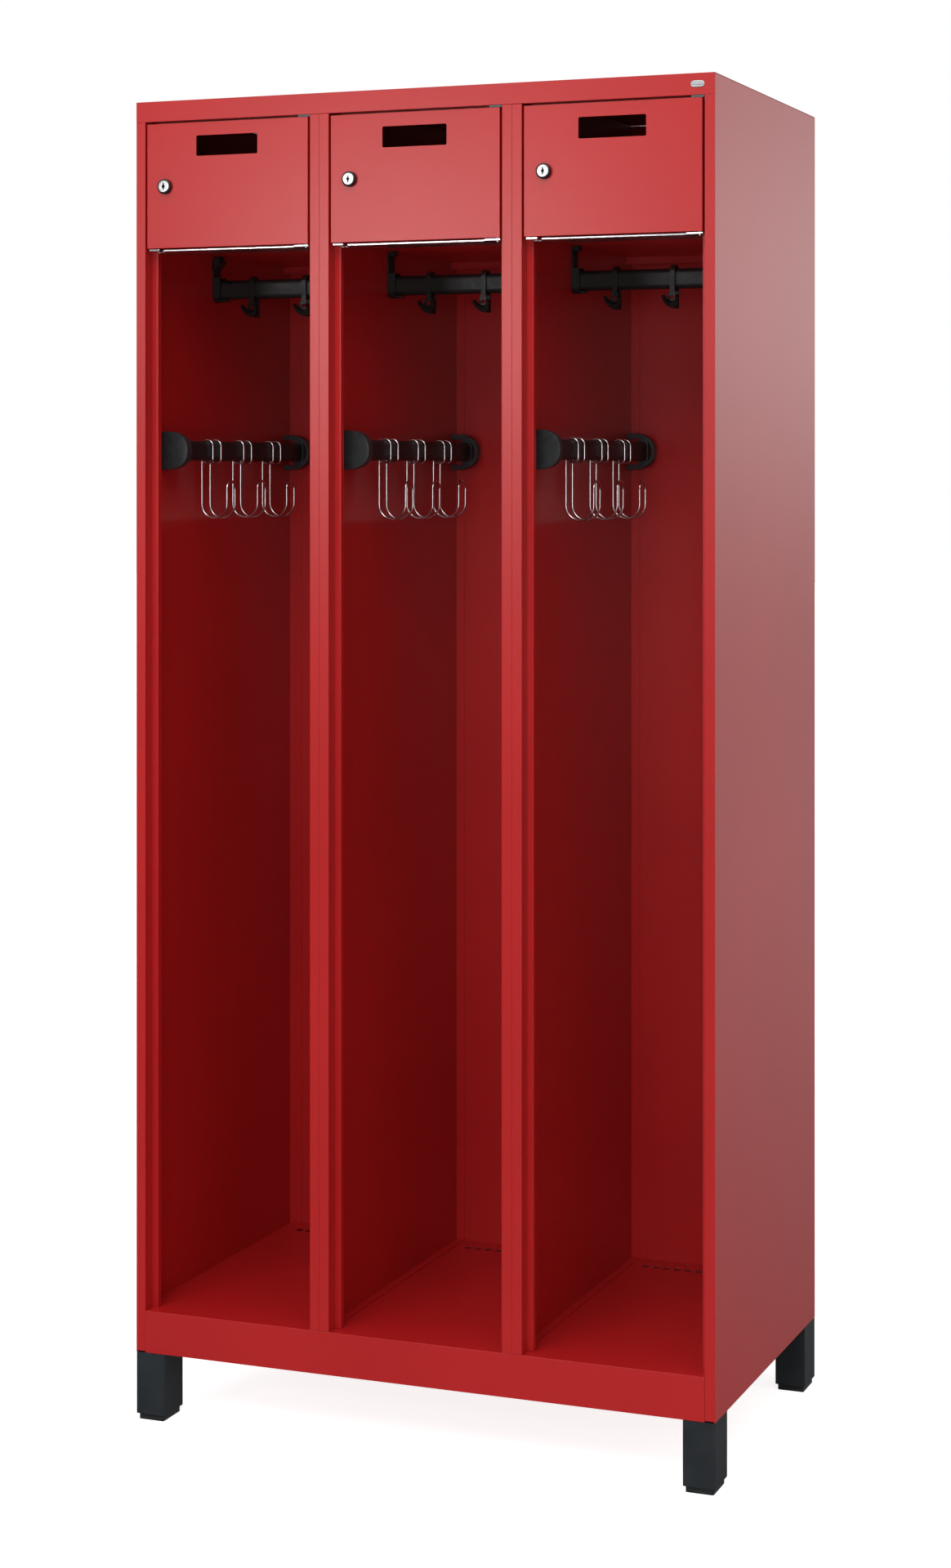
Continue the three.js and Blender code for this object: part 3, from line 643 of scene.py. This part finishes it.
lockSize = sizes(collar=11, collarBack=6.1, collarSide=1.6, collarStep=0.5, collarFlat=1.3, recess=9.05,
                 recessDepth=1.5, body=8, bodyChamfer=0.5, bore=5.8, thread=0.35, threadPitch=1.25,
                 threadRun=0.4, face=8.75, faceThick=1.8, faceEdge=0.9, faceStep=0.25, plug=5.5,
                 groove=0.2, grooveFloor=0.1, camThick=2, camHalf=6.5, camReach=33, camRound=4, camRim=0.3,
                 slotWidth=2.0, slotHeight=9.6, slotCorner=0.3, slotDepth=2.5, keyRound=2.5)
s = lockSize

for bay in bays:
    low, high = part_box(f"{bay}_lock_housing")
    centre = ((low.x + high.x) / 2, (low.z + high.z) / 2)
    collarBack = low.y + s["collarBack"]
    thread = []
    for i in range(int((high.y - collarBack) / s["threadPitch"]) - 1):
        at = collarBack + (i + 1) * s["threadPitch"]
        thread += [(s["body"], at - s["threadRun"]), (s["body"] - s["thread"], at)]
    housing = turned(f"{bay}_lock_collar", "xz", centre, [
        (s["bore"], high.y), (s["body"] - s["bodyChamfer"], high.y), *thread[::-1],
        (s["body"], collarBack), (s["collar"], collarBack), (s["collar"], low.y + s["collarSide"]),
        (s["collar"] - s["collarStep"], low.y + s["collarStep"]), (s["collar"] - s["collarFlat"], low.y),
        (s["recess"], low.y), (s["recess"], low.y + s["recessDepth"]), (s["bore"], low.y + s["recessDepth"]),
    ], 48, blackNylon)
    fit(bake(housing), bodyOf[f"{bay}_lock_housing"], "black_plastic", f"{bay}_lock_housing")

    low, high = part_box(f"{bay}_lock_cylinder")
    faceBack = low.y + s["faceThick"]
    stepY = low.y + s["faceStep"]
    cylinder = turned(f"{bay}_lock_face", "xz", centre, [
        (0, low.y), (s["plug"] - s["groove"], low.y), (s["plug"] - s["grooveFloor"], stepY),
        (s["plug"] + s["grooveFloor"], stepY), (s["plug"] + s["groove"], low.y),
        (s["face"] - s["faceEdge"], low.y), (s["face"] - s["faceStep"], stepY),
        (s["face"], low.y + s["faceEdge"]), (s["face"], faceBack), (s["plug"], faceBack),
        (s["plug"], high.y), (0, high.y),
    ], 48, nickelFace)
    cam = plate("cam", "xz", [rounded(
        centre[0], centre[1] + (s["camHalf"] - s["camReach"]) / 2,
        2 * s["camHalf"], s["camHalf"] + s["camReach"], s["camRound"],
    )], high.y - s["camThick"], high.y, s["camRim"], nickelFace)
    combine(cylinder, [cam])
    # the shallow slot's walls and floor take the near-black finish, a painted shade for the depth of the keyway
    keyhole = [
        plate("slot", "xz", [rounded(*centre, s["slotWidth"], s["slotHeight"], s["slotCorner"])],
              low.y - past, low.y + s["slotDepth"], 0, keyholePaintedShade),
        plate("round", "xz", [circle(*centre, s["keyRound"], 24)],
              low.y - past, low.y + s["slotDepth"], 0, keyholePaintedShade),
    ]
    combine(cylinder, keyhole, "DIFFERENCE", transfer=True)
    fit(bake(cylinder), bodyOf[f"{bay}_lock_cylinder"], "chrome", f"{bay}_lock_cylinder")
print("locks made")


# clothes rail across the bay, its brackets and its sliding hooks

railSize = sizes(thick=15, height=30, wall=2, rim=0.3, play=0.6)
railBracket = sizes(plate=2.7, width=22.5, collar=10, collarTop=38, collarDrop=7, overlap=0.5, socketRise=10,
                    footReach=12.7, footTop=66, footFront=61, gusset=50, pegWidth=7.5, pegLength=14,
                    pegHeight=8, pegCorner=0.5, pegRoot=1, lipThick=2.7, lipWidth=12, lipUp=0.8,
                    lipRoot=3, lipCorner=2, rim=0.4, edge=0.25)


def tubeOutlines(middle):
    # an oval tube's outside and inside
    thick, height, wall = railSize["thick"], railSize["height"], railSize["wall"]
    return [oval(*middle, thick, height), oval(*middle, thick - 2 * wall, height - 2 * wall)]


def railBracketPiece(name, low, high, railMiddle):
    # the bracket on a bay's left wall: tongue, open socket, foot under the shelf, peg and lower lip
    b = railBracket
    middle, railZ = railMiddle
    half = b["width"] / 2
    left, right = low.x, low.x + b["plate"]
    end = right + b["collar"]
    footFront, footTop = low.z + b["footFront"], low.z + b["footTop"]
    collarTop = low.z + b["collarTop"]

    def tongue(top):
        return [(middle + half, top), (middle - half, top)] + arc(middle, low.z + half, half, 180, 360, 20)

    base = plate(name, "yz", [tongue(footTop)], left, right, b["rim"], blackNylon)
    collar = plate("collar", "yz", [tongue(collarTop)], right - b["overlap"], end, b["rim"])
    socket = oval(middle, railZ + b["socketRise"], railSize["thick"] + railSize["play"],
                  railSize["height"] + 2 * b["socketRise"] + railSize["play"])
    slope = [(right, collarTop), (end + past, collarTop - b["collarDrop"]),
             (end + past, collarTop + past), (right, collarTop + past)]
    combine(collar, [
        plate("socket", "yz", [socket], right, end + past, 0),
        plate("slope", "xz", [slope], low.y - past, high.y + past, 0),
    ], "DIFFERENCE")
    foot = plate("foot", "xz", [[
        (left, low.z + b["gusset"]), (right, low.z + b["gusset"]), (left + b["footReach"], footFront),
        (left + b["footReach"], footTop), (left, footTop),
    ]], low.y, high.y, b["rim"])
    peg = plate("peg", "yz", [rounded(middle, high.z - b["pegHeight"] / 2, b["pegLength"], b["pegHeight"],
                                      b["pegCorner"])], right - b["pegRoot"], right + b["pegWidth"], b["rim"])
    lipLow = low.z + b["lipUp"]
    lipBack = end - b["lipRoot"]
    lip = plate("lip", "xy", [rounded((lipBack + high.x) / 2, middle, high.x - lipBack, b["lipWidth"],
                                      b["lipCorner"])], lipLow, lipLow + b["lipThick"], b["rim"])
    return soften(combine(base, [collar, foot, peg, lip]), b["edge"])


slidingHook = sizes(strap=8, play=0.5, wall=2.5, top=20.5, rootUp=5, rootDown=3, eyeDown=28, eye=3.2,
                    eyeOuter=7.7, stemCorner=1, rearCorner=1.5, webThick=3, webCorner=1, prongHalf=13,
                    prongRise=20, prongThick=6.5, prongInset=4.5, prongFloor=8.5, prongRim=1.2, rim=0.6,
                    edge=0.25)
prongLean = 40                         # degrees, the crescent's lean out from the rail


def slidingHookPiece(name, low, high, railMiddle):
    # a closed strap round the rail, a forked front leg with an eye, a rear leg and a crescent hook
    s = slidingHook
    middleX = (low.x + high.x) / 2
    railY, railZ = railMiddle
    half = s["strap"] / 2
    inner = railSize["thick"] / 2 + s["play"]
    outer = inner + s["wall"]
    yFront, yRear = railY - outer, railY + outer
    under = railZ - railSize["height"] / 2
    outerLow = under - s["play"] - s["wall"]
    rootTop, rootLow = under + s["rootUp"], under - s["rootDown"]
    top = railZ + s["top"]
    eyeZ = railZ - s["eyeDown"]
    eye = circle(middleX, eyeZ, s["eye"], 24)
    strap = plate(name, "yz", [
        oval(railY, (top + outerLow) / 2, 2 * outer, top - outerLow),
        oval(railY, railZ, 2 * inner, railSize["height"] + 2 * s["play"]),
    ], middleX - half, middleX + half, s["rim"], blackNylon)
    fork = [(middleX - half, rootTop), (middleX - half, rootLow)]
    fork += arc(middleX, eyeZ, s["eyeOuter"], 150, 390, 24)
    fork += [(middleX + half, rootLow), (middleX + half, rootTop)]
    leg = plate("leg", "xz", [fork, eye], yFront, yFront + s["wall"], s["rim"])
    stem = plate("stem", "xz", [rounded(middleX, (low.z + eyeZ) / 2, s["strap"], eyeZ - low.z,
                                        s["stemCorner"])], yFront, yFront + s["wall"], s["rim"])
    combine(stem, [plate("through", "xz", [eye], yFront - past, yFront + 2 * s["wall"], 0)], "DIFFERENCE")
    rear = plate("rear", "xz", [rounded(middleX, (low.z + rootTop) / 2, s["strap"], rootTop - low.z,
                                        s["rearCorner"])], yRear - s["wall"], yRear, s["rim"])
    web = plate("web", "yz", [rounded(railY, low.z + s["webThick"] / 2, 2 * outer, s["webThick"],
                                      s["webCorner"])], middleX - half, middleX + half, s["rim"])
    crescent = arc(0, s["prongRise"], s["prongHalf"], 180, 360, 24, s["prongRise"])
    crescent += arc(0, s["prongRise"], s["prongHalf"] - s["prongInset"], 360, 180, 24,
                    s["prongRise"] - s["prongFloor"])
    prongs = plate("prongs", "xz", [crescent], 0, s["prongThick"], s["prongRim"])
    lean = Matrix.Rotation(math.radians(prongLean), 4, "X")
    prongs.data.transform(Matrix.Translation((middleX, yFront, low.z)) @ lean)
    return soften(combine(strap, [leg, stem, rear, web, prongs]), s["edge"])


for bay in bays:
    node = f"{bay}_clothes_rail"
    low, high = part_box(node)
    railMiddle = ((low.y + high.y) / 2, (low.z + high.z) / 2)
    outlines = tubeOutlines(railMiddle)
    tube = plate(f"{bay}_rail_tube", "yz", outlines, low.x, high.x, railSize["rim"], blackNylon)
    fit(bake(tube), bodyOf[node], "black_plastic", node)
    for side in ("left", "right"):
        node = f"{bay}_rail_bracket_{side}"
        low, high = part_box(node)
        bracket = bake(railBracketPiece(f"{bay}_rail_end_{side}", low, high, railMiddle))
        if side == "right":
            mirroredX(bracket, (low.x + high.x) / 2)
        fit(bracket, bodyOf[node], "black_plastic", node)
    for k in (1, 2):
        node = f"{bay}_sliding_hook_{k}"
        hook = slidingHookPiece(f"{bay}_glider_{k}", *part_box(node), railMiddle)
        fit(bake(hook), bodyOf[node], "black_plastic", node)
print("clothes rails made")


# coat bar along the left wall, its two brackets, and the wire hooks that hang on it

barBracket = sizes(reach=45, half=28.6, flat=14, side=4, bowRun=14, bowBack=1.5, band=8, sideBand=4,
                   hollowFlat=4, hollowSide=1, hollowRoot=2, bossHalf=9.5, bossBack=0.6, bossInto=1,
                   bossRim=0.3, cover=3, endWall=3, rim=0.7, edge=0.3)
bow = {"near": 0.96, "far": 0.73}      # shares of the half height that steer the bracket's curve


def bezier(p0, p1, p2, p3, steps=16):
    points = []
    for i in range(steps + 1):
        t = i / steps
        shares = ((1 - t) ** 3, 3 * t * (1 - t) ** 2, 3 * t * t * (1 - t), t ** 3)
        points.append(tuple(sum(s * p[k] for s, p in zip(shares, (p0, p1, p2, p3))) for k in (0, 1)))
    return points


def bracketOutline(reach, half, flat, side):
    # straight on the wall, bowed above and below, round towards the bay
    near = (flat + barBracket["bowRun"], half * bow["near"])
    far = (reach - barBracket["bowBack"], half * bow["far"])
    upper = bezier((flat, half), near, far, (reach, side))
    return [(0, half), *upper, *[(a, -b) for a, b in upper[::-1]], (0, -half)]


def barBracketPiece(name, low, high, bar, isFront):
    b = barBracket
    z = (low.z + high.z) / 2
    # a deep ring on the wall with a boss for the bar: the front one is covered, the rear one open
    outside = [(low.x + a, z + c) for a, c in bracketOutline(b["reach"], b["half"], b["flat"], b["side"])]
    inside = [(low.x + (a if a else -b["hollowRoot"]), z + c) for a, c in bracketOutline(
        b["reach"] - b["sideBand"], b["half"] - b["band"], b["flat"] + b["hollowFlat"],
        b["side"] - b["hollowSide"])]
    back = low.y + b["cover"] if isFront else low.y - past
    # the bracket's greyer colour is painted highlight: the light of the key softbox on its face
    body = plate(name, "xz", [outside], low.y, high.y, b["rim"], coverNylonPaintedLight)
    combine(body, [plate("hollow", "xz", [inside], back, high.y + past, 0)], "DIFFERENCE")
    bossHeight = 2 * (b["half"] - b["band"]) + b["bossInto"]
    boss = plate("boss", "xz", [oval(bar[0], z, 2 * b["bossHalf"], bossHeight)],
                 low.y + b["bossBack"], high.y, b["bossRim"])
    combine(body, [boss])
    start, stop = (back, high.y + past) if isFront else (low.y - past, high.y - b["endWall"])
    socket = oval(*bar, railSize["thick"] + railSize["play"], railSize["height"] + railSize["play"])
    combine(body, [plate("socket", "xz", [socket], start, stop, 0)], "DIFFERENCE")
    return soften(body, b["edge"])


wireHook = sizes(wire=1.7, spread=13, strandFromBar=9.5, loopDrop=34.9, corner=6.5, endFromStrand=2.8,
                 tipRise=57.5)
bentWire = bentWireTree()


def wireHookPath(low, high):
    # one side from its end over the bar and down round the J to the tip; the other side mirrors it
    w = wireHook
    r = w["wire"]
    strandX = low.x + r
    barX = strandX + w["strandFromBar"]
    top = high.z - r - w["strandFromBar"]
    loopLow = high.z - r - w["loopDrop"]
    tipX = high.x - r
    bend = (tipX - strandX) / 2
    y = (low.y + high.y) / 2
    tipTop = low.z + r + w["tipRise"]
    side = arc(barX + w["strandFromBar"] - w["corner"], loopLow + w["corner"], w["corner"], -90, 0, 8)
    side = [(strandX + w["endFromStrand"], loopLow)] + side
    side += arc(barX, top, w["strandFromBar"], 0, 180, 18)
    side += arc(strandX + bend, low.z + r + bend, bend, 180, 360, 24)
    path = [(a, y + w["spread"], b) for a, b in side]
    path += [(tipX, a, b) for a, b in arc(y, tipTop - w["spread"], w["spread"], 0, 180, 24)]
    return path + [(a, y - w["spread"], b) for a, b in side[::-1]]


for bay in bays:
    node = f"{bay}_coat_bar"
    low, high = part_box(node)
    barMiddle = ((low.x + high.x) / 2, (low.z + high.z) / 2)
    outlines = tubeOutlines(barMiddle)
    tube = plate(f"{bay}_bar_tube", "xz", outlines, low.y, high.y, railSize["rim"], blackNylon)
    fit(bake(tube), bodyOf[node], "black_plastic", node)
    for place in ("front", "rear"):
        node = f"{bay}_bar_bracket_{place}"
        bracket = barBracketPiece(f"{bay}_bar_end_{place}", *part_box(node), barMiddle, place == "front")
        fit(bake(bracket), bodyOf[node], "black_plastic", node)
    for k in (1, 2, 3):
        node = f"{bay}_wire_hook_{k}"
        hook = grow(f"{bay}_coat_hook_{k}", [wireHookPath(*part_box(node))], bentWire,
                    {"Wire radius": wireHook["wire"], "Sides": 14, "Finish": chromedWire})
        fit(hook, bodyOf[node], "chrome", node)
print("coat bars made")


# legs on their glides, and the blank badge

legSize = sizes(glide=9, glideSink=1, inset=3, corner=1.6, glideCorner=2.5, rim=0.5, gap=0.3)

for node in ("leg_front_left", "leg_front_right", "leg_rear_left", "leg_rear_right"):
    low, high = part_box(node)
    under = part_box("floor_panel")[0].z - legSize["gap"]
    middle = ((low.x + high.x) / 2, (low.y + high.y) / 2)
    width, depth = high.x - low.x, high.y - low.y
    inset = 2 * legSize["inset"]
    post = plate(f"{node}_post", "xy", [rounded(*middle, width, depth, legSize["corner"])],
                 legSize["glide"], under, legSize["rim"], anthracitePaint)
    fit(bake(post), bodyOf[node], "anthracite_paint", node)
    foot = rounded(*middle, width - inset, depth - inset, legSize["glideCorner"])
    glide = plate(f"{node}_glide", "xy", [foot], 0, legSize["glide"] + legSize["glideSink"],
                  legSize["rim"], glidePolyamide)
    fit(bake(glide), bodyOf[node], "glide_plastic", node)

badgeSize = sizes(rim=0.3, flatEnd=0.05)
low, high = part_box("badge_plate")
width, height = high.x - low.x, high.z - low.z
badge = plate("badge_disc", "xz", [rounded((low.x + high.x) / 2, (low.z + high.z) / 2, width, height,
                                           height / 2 - badgeSize["flatEnd"], 10)],
              low.y, high.y, badgeSize["rim"], zincSteel)
fit(bake(badge), bodyOf["badge_plate"], "bright_steel", "badge_plate")
print("legs and badge made")


# camera, level, its frame slid down and to one side so that uprights stay upright

cameraSet = {"place": (1.5884, -3.7677, 1.3984), "turn": 19.876, "lens": 62.06, "shift": (-0.0937, -0.1971)}
camera = bpy.data.objects.new("camera", bpy.data.cameras.new("camera"))
scene.collection.objects.link(camera)
camera.location = cameraSet["place"]
camera.rotation_euler = (math.radians(90), 0, math.radians(cameraSet["turn"]))
camera.data.lens = cameraSet["lens"]
camera.data.shift_x, camera.data.shift_y = cameraSet["shift"]
scene.camera = camera


# pale floor, and plain soft studio light

studio = {"floorReach": 30.0, "glow": 0.8, "overheadFrom": (0.4, 0.6), "sideFade": (-0.1, 0.1)}

# softboxes: place, what it points at, width and height, watts
softboxes = {
    "key": ((-1.75, -4.1, 2.05), (0, 0, 1.5), (0.8, 0.5), 14.8),
    "lowKey": ((-1.75, -4.1, 1.75), (0, 0, 1.5), (1.0, 0.5), 9.8),
    "overFront": ((0.4, -4.0, 4.2), (0, 0, 1.0), (3.0, 2.0), 70.6),
    "over": ((0.2, -1.5, 4.2), (0, 0, 1.0), (3.0, 2.0), 17.3),
    "right": ((1.7, -6.0, 1.2), (0, 0, 1.0), (1.6, 1.6), 39.4),
    "middle": ((0.3, -7.0, 1.3), (0, 0, 1.0), (1.6, 1.6), 5.3),
}

floorMesh = bpy.data.meshes.new("floor")
reach = studio["floorReach"]
floorMesh.from_pydata([(-reach, -reach, 0), (reach, -reach, 0), (reach, reach, 0), (-reach, reach, 0)],
                      [], [(0, 1, 2, 3)])
paper, tree, shader, place = newMaterial("palePaper", Roughness=0.9, Emission_Color=(1, 1, 1, 1))
seen = addNode(tree, "ShaderNodeLightPath").outputs["Is Camera Ray"]
tree.links.new(between(tree, seen, 0.0, studio["glow"], 0.0, 1.0), shader.inputs["Emission Strength"])
grain = addNode(tree, "ShaderNodeTexNoise", {"Vector": place, "Scale": 1 / (40 * mm), "Detail": 3.0})
tree.links.new(mixColours(tree, grain.outputs["Fac"], "#f0f0ee", "#f5f5f4"), shader.inputs["Base Color"])
floor = addPiece("floor", floorMesh, paper)
floor.visible_glossy = False           # the paint mirrors the studio's walls, which the world stands for
floor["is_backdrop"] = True

for name, (spot, target, (width, height), watts) in softboxes.items():
    data = bpy.data.lights.new(f"{name}Softbox", "AREA")
    data.shape = "RECTANGLE"
    data.size, data.size_y, data.energy = width, height, watts
    light = bpy.data.objects.new(f"{name}Softbox", data)
    light.location = spot
    light.rotation_euler = (Vector(target) - Vector(spot)).to_track_quat("-Z", "Y").to_euler()
    scene.collection.objects.link(light)

# brightness of the studio by height above the horizon, as (sine of the height, brightness)
wallsBehind = [(-1.0, 0.0), (-0.43, 0.0), (-0.35, 0.15), (-0.22, 0.42), (-0.13, 0.65), (-0.055, 0.5),
               (0.0, 1.0), (0.035, 1.5), (0.075, 1.75), (0.11, 1.35), (0.15, 0.95), (0.3, 0.9), (0.53, 0.3),
               (0.75, 0.0), (1.0, 0.0)]
wallsInFront = [(-1.0, 0.0), (-0.02, 0.0), (0.03, 0.38), (0.45, 0.38), (0.55, 1.07), (1.0, 1.07)]


def brightnessRamp(tree, height, stops):
    share = between(tree, height, 0.0, 1.0, -1.0, 1.0)
    ramp = addNode(tree, "ShaderNodeValToRGB", {"Fac": share})
    points = ramp.color_ramp.elements
    for i, (sine, level) in enumerate(stops):
        at = (sine + 1) / 2
        point = points[0] if i == 0 else points.new(at) if i < len(stops) - 1 else points[-1]
        point.position = at
        point.color = (level, level, level, 1)
    return ramp.outputs["Color"]


world = bpy.data.worlds.new("studioWalls")
scene.world = world
world.use_nodes = True
tree = world.node_tree
tree.nodes.clear()
direction = addNode(tree, "ShaderNodeTexCoord").outputs["Generated"]
parts = addNode(tree, "ShaderNodeSeparateXYZ", {"Vector": direction}).outputs
behind = brightnessRamp(tree, parts["Z"], wallsBehind)
inFront = brightnessRamp(tree, parts["Z"], wallsInFront)
# in front, the walls are lit to the right only, and the ceiling all over
overhead = between(tree, parts["Z"], 0.0, 1.0, *studio["overheadFrom"])
right = between(tree, parts["X"], 0.0, 1.0, *studio["sideFade"])
litFront = addNode(tree, "ShaderNodeMath", {0: overhead, 1: right}, operation="MAXIMUM").outputs["Value"]
frontLight = mixColours(tree, litFront, "#000000", inFront)
level = mixColours(tree, between(tree, parts["Y"], 0.0, 1.0, *studio["sideFade"]), frontLight, behind)
walls = addNode(tree, "ShaderNodeBackground", {"Color": level})
white = addNode(tree, "ShaderNodeBackground", {"Color": (1, 1, 1, 1)})
seen = addNode(tree, "ShaderNodeLightPath").outputs["Is Camera Ray"]
both = addNode(tree, "ShaderNodeMixShader", {
    0: seen, 1: walls.outputs["Background"], 2: white.outputs["Background"],
})
addNode(tree, "ShaderNodeOutputWorld", {"Surface": both.outputs["Shader"]})
scene.view_settings.view_transform = "Standard"
print("camera and studio made")

low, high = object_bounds()
